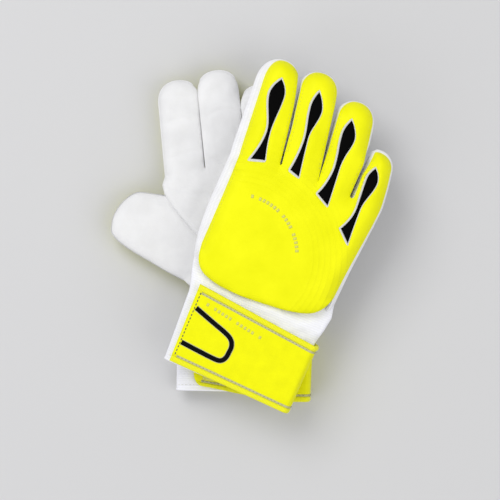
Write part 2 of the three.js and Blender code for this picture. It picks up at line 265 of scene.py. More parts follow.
def finger_edge(glove, name, foam):
    """Round one finger from crotch to crotch; the foam lies inside the outline of the palm."""
    f = glove.fingers[name]
    half, length = f["width"] / 2, f["length"]
    left, right, tip = f["inset"] if foam else (0.0, 0.0, 0.0)
    straight = length - half
    place = NAMES.index(name)
    before = glove.creases[place - 1] if place else None
    after = glove.creases[place] if place < len(glove.creases) else None
    start = crotch_level(glove, name, -half, before) if before else -6.0
    end = crotch_level(glove, name, half, after) if after else -3.0
    rows = [(-half, y) for y in np.linspace(start, straight, 30)[:-1]]
    for a in np.linspace(math.pi, 0.0, 31):
        cx, sx = math.cos(a), math.sin(a)
        rows.append((half * math.copysign(abs(cx) ** 0.9, cx), straight + half * sx**0.9))
    rows += [(half, y) for y in np.linspace(straight, end, 30)[1:]]
    out = []
    for x, y in rows:
        taper = 1 - f["taper"] * max(y, 0.0) / length
        x *= taper * (half - (left if x < 0 else right)) / half
        x += f["bow"] * (max(y, 0.0) / length) ** 1.5
        out.append((x, min(y, straight + (y - straight) * (half - tip) / half)))
    out = glove.from_finger(name, np.array(out))
    for line, sign, inset in ((before, 1, left), (after, -1, right)):
        if line:
            rise = np.maximum(out[:, 1] - line["foot"][1], 0.0)
            inset = inset * smooth(0.05 + rise / 28.0)
            limit = crease_x(line, out[:, 1]) + sign * (line["gap"] + line["spread"] * rise) / 2
            limit = limit + sign * inset
            out[:, 0] = np.maximum(out[:, 0], limit) if sign > 0 else np.minimum(out[:, 0], limit)
    return out


def crotch_level(glove, name, x, line):
    """How far along a finger its side meets the crotch."""
    knuckle, axes = glove.finger_frame(name)
    return (line["foot"][1] - knuckle[1] - x * axes[0][1]) / axes[1][1]


def even(points, count):
    """A number of points at an even step along a smooth curve."""
    return at_even_steps(spline(points), count)


def finger_edges(glove, foam):
    """Round all four fingers, from the left of the index to the right of the little finger."""
    path = []
    for name in NAMES:
        edge = finger_edge(glove, name, foam)
        if path:
            path.append((np.array(path[-1]) + edge[0]) / 2 - np.array([0.0, 1.0]))
        path.extend(edge)
    return np.array(path)


# Sides and foot of the hand's sheets: left side upwards, right side downwards, foot right to left.
SIDES = {
    "palm": dict(left=[(-62.5, 56), (-65.0, 78), (-65.4, 100), (-64.6, 122)],
                 right=[(54.2, 124), (52.6, 106), (50.2, 84), (48.6, 66), (48.6, 58)],
                 foot=[(49.5, 48), (47.5, 34), (20, 33.4), (-20, 33.4), (-50, 34), (-58, 43)]),
    "back": dict(left=[(-59.5, 64), (-58.6, 94), (-58.1, 122)],
                 right=[(53.4, 124), (51.4, 106), (48.9, 84), (47.0, 62)],
                 foot=[(42.3, 52.2), (34.1, 45.4), (18, 41.4), (1.8, 39.7), (-13.7, 38.8), (-28, 39),
                       (-38.3, 40.2), (-50.4, 44.2), (-57.2, 52.2)]),
}
# The palm-up glove is cut away round its spread thumb.
ROOT_SIDES = {
    "palm": dict(left=[(-33.0, 87), (-43.3, 99), (-54.6, 112.8), (-59.6, 121), (-60.9, 128)],
                 foot=[(48.5, 48), (47.8, 34), (20, 33.4), (-20, 33.4), (-41, 34), (-37, 50), (-31.6, 68)]),
    "back": dict(left=[(-46, 84), (-51, 100), (-56, 114), (-59, 128)],
                 foot=[(40.8, 47), (33, 42.6), (17, 41), (0, 39.7), (-18, 39), (-32, 39), (-38, 50),
                       (-43, 66)]),
}
# Lines that the mesh side walls follow: on beyond the foam to the sleeve.
WALLS = {
    "palm": dict(left=[(-50, 30), (-54.5, 40), (-60.6, 52), (-64.2, 68), (-65.4, 84), (-65.4, 100),
                       (-64.6, 122)],
                 right=[(53.8, 124), (52.2, 106), (50.2, 84), (49.2, 66), (48.4, 56), (46, 44), (42, 31)]),
    "back": dict(left=[(-49, 31), (-52.5, 41), (-57, 52), (-58.8, 66), (-59.0, 84), (-58.6, 100),
                       (-58.0, 122)],
                 right=[(53.4, 124), (51.4, 106), (49.0, 84), (47.4, 66), (46.8, 56), (45, 44), (41, 32)]),
}
ROOT_WALL = {"palm": [(-59.0, 120.0), (-60.9, 128)], "back": [(-57.8, 118.5), (-59, 128)]}
SIDE_STEPS = 40


def sheet_sides(glove, layer):
    sides = dict(SIDES[layer])
    if glove.palm_up:
        sides.update(ROOT_SIDES[layer])
    return sides


def side_run(glove, layer):
    """The open run that the side walls follow: up the left side, round the fingers and down."""
    left = ROOT_WALL[layer] if glove.palm_up else WALLS[layer]["left"]
    fingers = finger_edges(glove, layer == "back")
    return np.vstack([even(left, SIDE_STEPS), fingers, even(WALLS[layer]["right"], SIDE_STEPS)])


def sheet_outline(glove, layer):
    sides = sheet_sides(glove, layer)
    fingers = finger_edges(glove, layer == "back")
    foot = [sides["right"][-1], *sides["foot"], sides["left"][0]]
    return np.vstack([even(sides["left"], SIDE_STEPS), fingers, even(sides["right"], SIDE_STEPS),
                      even(foot, 70)[1:-1]])


def wedge_outline(glove, name):
    """The closed outline of a black wedge in the glove's frame."""
    w = WEDGES[name]
    (ax, ay), (sx, sy, sw), (wx, wy, ww) = w["apex"], w["swell"], w["waist"]
    sides = []
    for sign, (kx, ky) in zip((-1, 1), w["corners"]):
        side = []
        for t in np.linspace(0, 1, 9):
            y = ay + (sy - ay) * t
            side.append((ax + (sx - ax) * t + sign * sw / 2 * (1 - (1 - t) ** 1.9), y))
        for t in np.linspace(0, 1, 11)[1:]:
            s = smooth(t)
            side.append((sx + (wx - sx) * s + sign * (sw + (ww - sw) * s) / 2, sy + (wy - sy) * t))
        foot = wx + sign * ww / 2
        for t in np.linspace(0, 1, 9)[1:]:
            side.append((foot + (kx - foot) * t**1.7, wy + (ky - wy) * t))
        sides.append(side)
    loop = sides[0] + sides[1][::-1][:-1]
    return glove.from_finger(name, np.array(loop))


def inside(points, loop):
    points, loop = np.asarray(points), np.asarray(loop)
    nxt = np.roll(loop, -1, axis=0)
    result = np.zeros(len(points), dtype=bool)
    for (ax, ay), (bx, by) in zip(loop, nxt):
        crosses = (ay > points[:, 1]) != (by > points[:, 1])
        if not crosses.any() or ay == by:
            continue
        at = ax + (points[:, 1] - ay) * (bx - ax) / (by - ay)
        result ^= crosses & (points[:, 0] < at)
    return result


def distance(points, path, closed=True):
    """Distance from each point to a path."""
    points, path = np.asarray(points), np.asarray(path)
    ends = np.roll(path, -1, axis=0) if closed else path[1:]
    starts = path if closed else path[:-1]
    best = np.full(len(points), 1e9)
    for a, b in zip(starts, ends):
        ab = b - a
        size = max(float(ab @ ab), 1e-12)
        t = np.clip(((points - a) @ ab) / size, 0, 1)
        best = np.minimum(best, np.linalg.norm(points - a - t[:, None] * ab, axis=1))
    return best


def triangulate(outline, holes=(), lines=(), grid=GRID):
    """Triangles that fill an outline and follow the holes and lines drawn in it."""
    outline = resample(outline, grid, closed=True)
    loops = [outline] + [resample(h, grid * 0.7, closed=True) for h in holes]
    open_lines = [resample(line, grid) for line in lines]
    points, edges = [], []
    for loop in loops:
        first = len(points)
        points += list(loop)
        edges += [(first + i, first + (i + 1) % len(loop)) for i in range(len(loop))]
    for line in open_lines:
        first = len(points)
        points += list(line)
        edges += [(first + i, first + i + 1) for i in range(len(line) - 1)]
    low, high = outline.min(axis=0), outline.max(axis=0)
    rows = []
    for j, y in enumerate(np.arange(low[1], high[1], grid * 0.866)):
        shift = grid / 2 if j % 2 else 0.0
        rows += [(x, y) for x in np.arange(low[0] + shift, high[0], grid)]
    rows = np.array(rows)
    rows = rows[inside(rows, outline)]
    keep = np.ones(len(rows), dtype=bool)
    for loop in loops:
        keep &= distance(rows, loop) > grid * 0.55
    for line in open_lines:
        keep &= distance(rows, line, closed=False) > grid * 0.55
    points += list(rows[keep])
    verts, _, faces, *_ = delaunay_2d_cdt([Vector(p) for p in points], edges, [], 0, 1e-5)
    verts = np.array([(v.x, v.y) for v in verts])
    faces = np.array([f for f in faces if len(f) == 3])
    centres = verts[faces].mean(axis=1)
    return verts, faces[inside(centres, outline)]


# ---------------------------------------------------------------- materials

RING_CENTRE = (-31.0, 66.0)
ARC_CENTRE = (-32.0, 67.0)
ARC_RADIUS = 44.4
RING_RADII = (50.0, 84.0)
RING_PERIOD = 4.2


def new_material(name, color, roughness, sheen=0.0, specular=0.5):
    material = bpy.data.materials.new(name)
    material.use_nodes = True
    shader = material.node_tree.nodes["Principled BSDF"]
    shader.inputs["Base Color"].default_value = (*color, 1)
    shader.inputs["Roughness"].default_value = roughness
    shader.inputs["Sheen Weight"].default_value = sheen
    shader.inputs["Specular IOR Level"].default_value = specular
    return material


class Nodes:
    """A short way to write a material's nodes. Texture space is the glove's own millimetres."""

    def __init__(self, *look, **more):
        self.material = new_material(*look, **more)
        self.tree = self.material.node_tree
        self.shader = self.tree.nodes["Principled BSDF"]
        self.uv = self.add("ShaderNodeTexCoord").outputs["UV"]

    def add(self, kind, inputs=None, **settings):
        node = self.tree.nodes.new(kind)
        for key, value in settings.items():
            setattr(node, key, value)
        for key, value in (inputs or {}).items():
            self.set(node.inputs[key], value)
        return node

    def set(self, socket, value):
        if isinstance(value, bpy.types.NodeSocket):
            self.tree.links.new(value, socket)
        else:
            socket.default_value = value

    def math(self, operation, a, b=0.0):
        node = self.add("ShaderNodeMath", operation=operation)
        self.set(node.inputs[0], a)
        self.set(node.inputs[1], b)
        return node.outputs[0]

    def noise(self, scale, detail=3.0):
        return self.add("ShaderNodeTexNoise", {"Vector": self.uv, "Scale": scale,
                                               "Detail": detail, "Roughness": 0.5}).outputs["Fac"]

    def cells(self, scale):
        return self.add("ShaderNodeTexVoronoi", {"Vector": self.uv, "Scale": scale}).outputs["Distance"]

    def ribs(self, period, direction, distortion=0.0):
        """Parallel ribs with a period in millimetres."""
        scale = math.pi / 10 / period
        node = self.add("ShaderNodeTexWave", {"Vector": self.uv, "Scale": scale,
                                              "Distortion": distortion},
                        wave_type="BANDS", bands_direction=direction)
        return node.outputs["Fac"]

    def rings(self, centre, radii, period):
        """Concentric grooves between two radii, fading out at both."""
        offset = self.add("ShaderNodeVectorMath", operation="SUBTRACT")
        self.set(offset.inputs[0], self.uv)
        offset.inputs[1].default_value = (*centre, 0)
        length = self.add("ShaderNodeVectorMath", operation="LENGTH")
        self.set(length.inputs[0], offset.outputs[0])
        radius = length.outputs["Value"]
        wave = self.math("SINE", self.math("MULTIPLY", radius, 2 * math.pi / period))
        inner = self.add("ShaderNodeMapRange", {"Value": radius, "From Min": radii[0],
                                                "From Max": radii[0] + period})
        outer = self.add("ShaderNodeMapRange", {"Value": radius, "From Min": radii[1],
                                                "From Max": radii[1] - period})
        mask = self.math("MULTIPLY", inner.outputs[0], outer.outputs[0])
        swing = self.math("ADD", self.math("MULTIPLY", wave, 0.5), 0.5)
        return self.math("MULTIPLY", self.math("POWER", swing, 3.0), mask)

    def vary(self, factor, dark, light, low=0.35, high=0.65):
        ramp = self.add("ShaderNodeValToRGB", {"Fac": factor})
        ramp.color_ramp.elements[0].position = low
        ramp.color_ramp.elements[1].position = high
        ramp.color_ramp.elements[0].color = (*dark, 1)
        ramp.color_ramp.elements[1].color = (*light, 1)
        return ramp.outputs["Color"]

    def color(self, value):
        self.set(self.shader.inputs["Base Color"], value)

    def rough(self, factor, low, high):
        node = self.add("ShaderNodeMapRange", {"Value": factor, "To Min": low, "To Max": high})
        self.set(self.shader.inputs["Roughness"], node.outputs["Result"])

    def bump(self, *layers):
        """Stack bumps: each layer is a height and its depth in metres."""
        normal = None
        for height, depth in layers:
            node = self.add("ShaderNodeBump", {"Height": height, "Distance": depth, "Strength": 1.0})
            if normal is not None:
                self.set(node.inputs["Normal"], normal)
            normal = node.outputs["Normal"]
        self.set(self.shader.inputs["Normal"], normal)


def foam_material():
    """Fluorescent foam laminate: a smooth film over fine cells."""
    n = Nodes("foam_yellow", (0.9, 0.9, 0.0), 0.6, sheen=0.03, specular=0.14)
    n.color(n.vary(n.noise(0.035, 4), (0.83, 0.835, 0.0), (0.9, 0.9, 0.003)))
    n.rough(n.noise(0.6, 3), 0.52, 0.7)
    n.bump((n.rings(RING_CENTRE, RING_RADII, RING_PERIOD), 0.00018), (n.noise(0.05, 2), 0.0006),
           (n.cells(1.5), 0.00005), (n.noise(4.0, 2), 0.00003))
    return n.material


def latex_material():
    n = Nodes("latex_white", (0.79, 0.79, 0.80), 0.8, sheen=0.05, specular=0.2)
    n.color(n.vary(n.noise(0.05, 5), (0.755, 0.755, 0.765), (0.815, 0.815, 0.825)))
    n.rough(n.noise(0.5, 3), 0.7, 0.9)
    n.bump((n.noise(0.06, 3), 0.0008), (n.cells(2.2), 0.00006), (n.noise(6.0, 2), 0.00004))
    return n.material


def weave_material(name, color, period, roughness=0.8, depth=0.00012, sheen=0.2, specular=0.2):
    """A knitted or woven cloth: two crossed sets of ribs."""
    n = Nodes(name, color, roughness, sheen=sheen, specular=specular)
    across, along = n.ribs(period, "X"), n.ribs(period, "Y")
    weave = n.math("MULTIPLY", across, along)
    dark = tuple(c * 0.82 for c in color)
    n.color(n.vary(n.math("ADD", n.math("MULTIPLY", weave, 0.5), n.math("MULTIPLY", n.noise(0.1), 0.5)),
                   dark, color, 0.1, 0.55))
    n.rough(weave, roughness - 0.1, min(roughness + 0.12, 1.0))
    n.bump((n.noise(0.08, 3), 0.0006), (weave, depth))
    return n.material


def ribbed_material(name, color, period, direction, roughness, depth, shade=0.84):
    """Elastic or tape with ribs one way and a fine thread the other way."""
    n = Nodes(name, color, roughness, sheen=0.15, specular=0.25)
    ribs = n.ribs(period, direction, 0.3)
    thread = n.ribs(period * 0.4, "Y" if direction == "X" else "X", 0.5)
    dark = tuple(c * shade for c in color)
    n.color(n.vary(ribs, dark, color, 0.0, 0.45))
    n.rough(ribs, roughness, roughness - 0.1)
    n.bump((n.noise(0.07, 3), 0.0007), (ribs, depth), (thread, depth * 0.3))
    return n.material


def pile_material(name, color, scale, depth):
    """Hook or loop tape."""
    n = Nodes(name, color, 0.95, sheen=0.4, specular=0.2)
    cells = n.cells(scale)
    n.color(n.vary(cells, color, tuple(c * 0.6 for c in color), 0.1, 0.7))
    n.rough(cells, 0.85, 1.0)
    n.bump((cells, depth), (n.noise(scale * 2, 4), depth * 0.6))
    return n.material


def print_material(name, color, roughness, specular=0.3):
    n = Nodes(name, color, roughness, specular=specular)
    n.rough(n.noise(0.9, 4), roughness - 0.08, roughness + 0.12)
    n.bump((n.noise(1.5, 3), 0.00005),)
    return n.material


def thread_material(name, color):
    n = Nodes(name, color, 0.7, sheen=0.3)
    twist = n.ribs(0.6, "DIAGONAL")
    n.color(n.vary(twist, tuple(c * 0.7 for c in color), color, 0.1, 0.6))
    n.bump((twist, 0.0001),)
    return n.material


M = {
    "foam": foam_material(),
    "latex": latex_material(),
    "mesh": weave_material("gusset_mesh", (0.92, 0.92, 0.95), 1.1),
    "wedge": weave_material("wedge_cloth", (0.002, 0.002, 0.002), 0.9, 0.88, 0.0001, 0.0, 0.04),
    "elastic": ribbed_material("cuff_elastic", (0.89, 0.895, 0.96), 1.7, "Y", 0.85, 0.00007, 0.95),
    "strap": weave_material("strap_laminate", (0.93, 0.925, 0.0), 0.8, 0.65, 0.00004, 0.03, 0.14),
    "binding": ribbed_material("binding_tape", (0.9, 0.89, 0.01), 1.1, "X", 0.8, 0.00012),
    "hook": pile_material("hook_tape", (0.09, 0.09, 0.09), 2.0, 0.0002),
    "loop": pile_material("loop_tape", (0.72, 0.72, 0.7), 1.4, 0.0002),
    "print": print_material("black_print", (0.002, 0.002, 0.002), 0.55, 0.07),
    # Grey print on the loop border; the same grey-olive is also painted shade in the strap's binding seams.
    "groove_shade_and_grey_print": print_material("groove_shade_and_grey_print", (0.53, 0.52, 0.25), 0.6),
    "faint_print": print_material("faint_print", (0.71, 0.70, 0.14), 0.6),
    "piping": thread_material("piping", (0.74, 0.74, 0.7)),
    "thread": thread_material("stitch_thread", (0.26, 0.255, 0.11)),
    "yellow_thread": thread_material("yellow_thread", (0.8, 0.8, 0.02)),
    "white_thread": thread_material("white_thread", (0.8, 0.8, 0.8)),
}


# ---------------------------------------------------------------- mesh helpers


def add_object(name, points, faces, uv, material, flip=False):
    """A mesh object from scene points, with texture places in the glove's millimetres."""
    mesh = bpy.data.meshes.new(name)
    faces = [tuple(reversed(f)) if flip else tuple(f) for f in faces]
    mesh.from_pydata([tuple(p) for p in points], [], faces)
    layer = mesh.uv_layers.new(name="place")
    corners = np.empty(len(mesh.loops), dtype=np.int32)
    mesh.loops.foreach_get("vertex_index", corners)
    layer.data.foreach_set("uv", np.asarray(uv, dtype=np.float32)[corners].ravel())
    mesh.polygons.foreach_set("use_smooth", np.ones(len(mesh.polygons), dtype=bool))
    mesh.materials.append(material)
    mesh.update()
    piece = bpy.data.objects.new(name, mesh)
    bpy.context.scene.collection.objects.link(piece)
    return piece


def blend(glove, piece, ends):
    """Bake a piece's transform into its mesh; the two places [x, y, h] are placed in the scene but not used
    to bend it.
    """
    start, end = glove.place(ends)
    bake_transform(piece)


def replace_nodes(glove, nodes):
    if nodes:
        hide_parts(*(f"{glove.side}_{node}" for node in nodes))


def add_piece(glove, name, points, faces, material, region="hand", uv=None, nodes=()):
    """A piece that rides on the hand, thumb or strap; a finger's piece takes the glove's droop at its
    knuckle and is not attached to a body.
    """
    points = np.asarray(points, dtype=float)
    uv = points[:, :2] if uv is None else uv
    bent = glove.bend(region, points) if region in NAMES else points
    piece = add_object(f"{glove.side}_{name}", glove.place(bent), faces, uv, material, glove.palm_up)
    if region in NAMES:
        ends = glove.from_finger(region, [(0.0, -BEND), (0.0, BEND + 4)])
        blend(glove, piece, np.column_stack([ends, [2.0, 2.0]]))
    else:
        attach(piece, f"{glove.side}_{region}")
    replace_nodes(glove, nodes)
    return piece


def slab(verts, outer, inner, faces, rim=None):
    """A closed sheet between an outer and an inner height, walled along its rim edges."""
    used = np.unique(faces)
    index = {v: i for i, v in enumerate(used)}
    n = len(used)
    heights = [np.broadcast_to(h, len(verts))[used] for h in (outer, inner)]
    points = np.vstack([np.column_stack([verts[used], h]) for h in heights])
    made = [tuple(index[v] for v in f) for f in faces]
    made += [tuple(index[v] + n for v in reversed(f)) for f in faces]
    for a, b in boundary(faces) if rim is None else rim:
        a, b = index[a], index[b]
        made.append((b, a, a + n, b + n))
    return points, made


def boundary(faces):
    """Directed edges that only one face uses."""
    edges = {}
    for f in faces:
        for i in range(3):
            edges[(f[i], f[(i + 1) % 3])] = True
    return [e for e in edges if (e[1], e[0]) not in edges]


def add_sheet(glove, layer, label, thickness, material, holes=()):
    """The back or palm sheet, cut into a hand piece and one piece for each finger."""
    outline = sheet_outline(glove, layer)
    lines = [KNUCKLE_CUT]
    for line in glove.creases:
        fx, fy = line["foot"]
        lines.append([(crease_x(line, y), y) for y in (np.interp(fx, *zip(*KNUCKLE_CUT)), fy)])
    lines = [[p for p in resample(line, GRID) if inside([p], outline)[0]] for line in lines]
    verts, faces = triangulate(outline, holes, lines)
    outer = surface(glove, layer)(verts)
    if thickness > 0:
        faces = faces[:, ::-1]
    for hole in holes:
        faces = faces[~inside(verts[faces].mean(axis=1), hole)]
    rim = boundary(faces)
    regions = np.array([glove.region_of(x, y) for x, y in verts[faces].mean(axis=1)])
    for region in dict.fromkeys(regions):
        part = faces[regions == region]
        own = {(f[i], f[(i + 1) % 3]) for f in part for i in range(3)}
        points, solid = slab(verts, outer, outer + thickness, part, [e for e in rim if e in own])
        name, node = ((label, f"{layer}_panel") if region == "hand"
                      else (f"{region}_{label}", f"{region}_{layer}"))
        add_piece(glove, name, points, solid, material, region, nodes=[node])


def tube(path, radii, closed=False, sides=8, squash=1.0):
    """Points and faces of a tube along a path in the glove's frame; squash flattens it in h."""
    path = np.asarray(path, dtype=float)
    radii = np.broadcast_to(radii, len(path))
    ahead = np.roll(path, -1, axis=0) - np.roll(path, 1, axis=0)
    if not closed:
        ahead[0], ahead[-1] = path[1] - path[0], path[-1] - path[-2]
    ahead = unit(ahead)
    side = unit(np.cross(ahead, [0.0, 0.0, 1.0]))
    up = np.cross(side, ahead)
    angles = np.linspace(0, 2 * math.pi, sides, endpoint=False)
    rings = (path[:, None] + radii[:, None, None] * (np.cos(angles)[None, :, None] * side[:, None]
             + squash * np.sin(angles)[None, :, None] * up[:, None]))
    count = len(path)
    faces = grid_faces(count, sides, closed, True)
    if not closed:
        faces.append(tuple(range(sides - 1, -1, -1)))
        faces.append(tuple((count - 1) * sides + k for k in range(sides)))
    return rings.reshape(-1, 3), faces


# Heights of the thread along one stitch, for a thread of this radius.
STITCH_RADIUS = 0.28
STITCH_DIPS = (-0.35, -0.02, 0.06, -0.02, -0.35)
STITCH_TAPER = np.array([0.55, 1.0, 1.0, 1.0, 0.55])


def stitches(path, pitch, length, radius):
    """A row of sewn stitches along a path [x, y, h]: short threads that dip in at both ends."""
    path = resample(path, pitch)
    all_points, all_faces = [], []
    for i in range(len(path) - 1):
        middle, step = (path[i] + path[i + 1]) / 2, path[i + 1] - path[i]
        step = step / max(np.linalg.norm(step), 1e-9) * length / 2
        rows = [middle - step, middle - step * 0.6, middle, middle + step * 0.6, middle + step]
        line = [row + np.array([0, 0, dip * radius / STITCH_RADIUS])
                for row, dip in zip(rows, STITCH_DIPS)]
        points, faces = tube(line, STITCH_TAPER * radius, sides=6)
        base = sum(len(p) for p in all_points)
        all_points.append(points)
        all_faces += [tuple(base + v for v in f) for f in faces]
    return np.vstack(all_points), all_faces


def split_path(glove, path):
    """Cut a path into runs that each lie in one piece of the glove."""
    regions = [glove.region_of(x, y) for x, y in path[:, :2]]
    runs, start = [], 0
    for i in range(1, len(path) + 1):
        if i == len(path) or regions[i] != regions[start]:
            last = min(i, len(path) - 1)
            runs.append((regions[start], path[start:last + 1]))
            start = i
    return [run for run in runs if len(run[1]) > 2]


# ---------------------------------------------------------------- hand and fingers

BACK_ROLL = (7.5, 11.0)
PALM_ROLL = (4.6, 9.0)
SEAM_ROLL = (1.3, 3.2)
THUMB_ROLL = (3.4, 8.0)
FOOT_ROLL = (2.6, 6.0)
WEDGE_SINK = 1.0
BACK_LOW = 1.3
EDGE_INSET = 2.0


def rolled(points, edges):
    """How far a sheet drops towards its edges; each edge is (path, closed, drop, reach)."""
    total = np.zeros(len(points))
    for path, closed, drop, reach in edges:
        near = np.clip(distance(points, path, closed) / reach, 0, 1)
        total = np.maximum(total, drop * (1 - near) ** 2.2)
    return total


def layer_edges(glove, layer):
    """The edges that a sheet rolls down to, each as (path, closed, drop, reach)."""
    roll = BACK_ROLL if layer == "back" else PALM_ROLL
    sides = sheet_sides(glove, layer)
    fingers = finger_edges(glove, layer == "back")
    edges = [(np.vstack([fingers, even(sides["right"], SIDE_STEPS)]), False, *roll)]
    foot = even([sides["right"][-1], *sides["foot"], sides["left"][0]], 60)
    left = even(sides["left"], SIDE_STEPS)
    if glove.palm_up:
        edges.append((np.vstack([foot, left]), False, *SEAM_ROLL))
    else:
        edges.append((left, False, *roll))
        edges.append((foot, False, *FOOT_ROLL))
    return edges


def undulation(points):
    """The gentle unevenness of soft cloth, from -1 to 1."""
    x, y = points[:, 0], points[:, 1]
    waves = ((0.21, 0.11, 0.4), (-0.13, 0.24, 1.7), (0.34, -0.19, 2.9), (0.08, 0.41, 4.1))
    return sum(np.sin(a * x + b * y + c) for a, b, c in waves) / len(waves)


# Soft folds across the palm: at the finger joints, the finger roots and the middle of the hand.
PALM_FOLDS = [
    [(-57, 147), (-46, 151.5), (-35, 153), (-20, 147.5), (-8, 139)],
    [(-9, 151), (4, 155), (17, 152), (28, 144)],
    [(-60, 173), (-50, 178.5), (-38, 177)], [(-27, 180), (-17, 185), (-6, 183)],
    [(-57, 128), (-38, 121), (-14, 119), (8, 112)], [(44, 96), (24, 88), (8, 90)],
    [(-16, 66), (-8, 80), (-6, 98)], [(-61, 192), (-52, 196), (-41, 194)],
]


def beside(glove, points):
    """How far a point lies in a crease between two fingers: 1 in it, 0 well away from it."""
    total = np.zeros(len(points))
    for line, pair in zip(glove.creases, zip(NAMES, NAMES[1:])):
        tips = [(glove.from_finger(n, [[0.0, glove.fingers[n]["length"]]]))[0, 1] for n in pair]
        near = 1 - smooth((np.abs(points[:, 0] - crease_x(line, points[:, 1])) - 3.0) / 7.0)
        below = 1 - smooth((points[:, 1] - min(tips) + 17.0) / 14.0)
        total = np.maximum(total, near * below)
    return total


def surface(glove, layer):
    """The outer height of the back or palm sheet, as a function of places in the glove."""
    edges = layer_edges(glove, layer)
    wedges = [wedge_outline(glove, name) for name in NAMES] if layer == "back" else []
    folds = [spline(f) for f in PALM_FOLDS]

    def height(points, with_wedges=True):
        points = np.asarray(points)[:, :2]
        drop = rolled(points, edges) * (1 - CREASE_SHARE[glove.side] * beside(glove, points))
        crown = 0.9 * smooth(distance(points, edges[0][0], False) / 42.0)
        calm = smooth(distance(points, edges[0][0], False) / 8.0)
        if layer == "palm":
            dents = rolled(points, [(f, False, 0.75, 4.0) for f in folds])
            return drop - 0.4 * crown + (0.45 * undulation(points) + dents) * calm
        if with_wedges:
            drop = drop + rolled(points, [(w, True, 0.9, 2.2) for w in wedges])
        return THICK - BACK_LOW - drop + crown + 0.3 * undulation(points) * calm

    return height


def build_sheets(glove):
    height = surface(glove, "back")
    wedges = {name: wedge_outline(glove, name) for name in NAMES}
    add_sheet(glove, "back", "back_foam", -FOAM, M["foam"], holes=list(wedges.values()))
    for name, loop in wedges.items():
        build_wedge(glove, name, loop, height)
    add_sheet(glove, "palm", "palm_latex", LATEX, M["latex"])


def build_wedge(glove, name, loop, height):
    """Black cloth sunk between the foam edges, with white piping sewn round it."""
    verts, faces = triangulate(loop, grid=1.2)
    far = distance(verts, loop)
    outer = height(verts, with_wedges=False) - WEDGE_SINK - 0.7 * (1 - smooth(far / 2.5))
    points, solid = slab(verts, outer, outer - 1.2, faces)
    add_piece(glove, f"{name}_wedge", points, solid, M["wedge"], name, nodes=[f"{name}_insert"])
    path = resample(loop, 1.1, closed=True)
    local = glove.to_finger(name, path)
    lift = height(path, with_wedges=False) - 0.75
    ahead = np.roll(local, -1, axis=0) - np.roll(local, 1, axis=0)
    facing = np.where(ahead[:, 1] < -0.3 * np.abs(ahead[:, 0]), 1.0, 0.0)
    facing = np.maximum(facing, np.abs(ahead[:, 0]) > np.abs(ahead[:, 1]) * 1.5)
    facing = np.convolve(np.r_[facing[-2:], facing, facing[:2]], np.ones(5) / 5, "valid")
    radii = 0.34 + 0.48 * facing
    points, solid = tube(np.column_stack([path, lift]), radii, closed=True, sides=8, squash=0.7)
    add_piece(glove, f"{name}_piping", points, solid, M["piping"], name)


def build_gussets(glove):
    """White mesh walls between palm and back, all round the hand and fingers."""
    back, palm = side_run(glove, "back"), side_run(glove, "palm")
    low = smooth((back[:, 1] - 47.0) / 14.0)
    top = (surface(glove, "back")(back) - 1.2) * low + 10.0 * (1 - low)
    bottom = (surface(glove, "palm")(palm) + 1.2) * low + 7.0 * (1 - low)
    middle = (back + palm) / 2
    outward = sideways(middle)
    room = np.full(len(middle), 9.0)
    for line in glove.creases:
        inner = middle[:, 1] > line["foot"][1] - 3
        gap = np.abs(middle[:, 0] - crease_x(line, middle[:, 1]))
        room = np.where(inner, np.minimum(room, gap), room)
    swell = smooth((room - 1.5) / 3.0)
    rows = []
    for t in np.linspace(0, 1, 13):
        bulge = (1.5 * math.sin(math.pi * t) ** 0.7 - 0.5) * swell - 0.3 * (1 - swell)
        rows.append(np.column_stack([back + (palm - back) * (1 - (1 - t) ** 3) + outward * bulge[:, None],
                                     top + (bottom - top) * t]))
    outer = np.array(rows)
    inner = outer.copy()
    inner[:, :, :2] -= outward[None] * 1.0
    columns = len(back)
    regions = [glove.region_of(*((middle[i] + middle[i + 1]) / 2)) for i in range(columns - 1)]
    points = np.vstack([outer.reshape(-1, 3), inner.reshape(-1, 3)])
    layer = outer.shape[0] * columns
    for region in dict.fromkeys(regions):
        own = [i for i, r in enumerate(regions) if r == region]
        faces = []
        for i in own:
            for r in range(len(outer) - 1):
                a, b = r * columns + i, r * columns + i + 1
                c, d = b + columns, a + columns
                faces.append((a, b, c, d))
                faces.append((a + layer, d + layer, c + layer, b + layer))
        used = np.unique(np.array(faces))
        index = {v: k for k, v in enumerate(used)}
        faces = [tuple(index[v] for v in f) for f in faces]
        along = np.tile(run_lengths(middle), len(outer) * 2)[used]
        uv = np.column_stack([along, points[used][:, 2]])
        label = "side_mesh" if region == "hand" else f"{region}_side_mesh"
        nodes = [f"{region}_gusset"] if region in NAMES else ["hand_edge"]
        if region == "hand" and not glove.palm_up:
            nodes.append("thumb_edge")
        add_piece(glove, label, points[used], faces, M["mesh"], region, uv, nodes)


def build_edge_stitches(glove):
    """A row of stitches just inside the edge of the back sheet."""
    height, run = surface(glove, "back"), side_run(glove, "back")
    moved = run - sideways(run) * EDGE_INSET
    keep = (distance(moved, run, False) > EDGE_INSET * 0.93) & (moved[:, 1] > 60)
    for line in glove.creases:
        keep &= np.linalg.norm(moved - np.array(line["foot"]), axis=1) > 7.0
    for number, (region, part) in enumerate(split_path(glove, moved[keep])):
        gaps = np.linalg.norm(np.diff(part, axis=0), axis=1)
        for piece_number, row in enumerate(np.split(part, np.flatnonzero(gaps > 6.0) + 1)):
            if len(row) >= 4:
                points, faces = stitches(np.column_stack([row, height(row) + 0.02]), 3.0, 2.1, 0.15)
                add_piece(glove, f"back_stitch_{number}_{piece_number}", points, faces,
                          M["yellow_thread"], region)


# ---------------------------------------------------------------- wrist


def superellipse(count, half_x, half_h, power):
    out = []
    for a in np.linspace(0, 2 * math.pi, count, endpoint=False):
        c, d = math.cos(a), math.sin(a)
        out.append((half_x * math.copysign(abs(c) ** (2 / power), c),
                    half_h * math.copysign(abs(d) ** (2 / power), d)))
    return np.array(out)


CUFF_WALL = 1.5
AROUND = 150
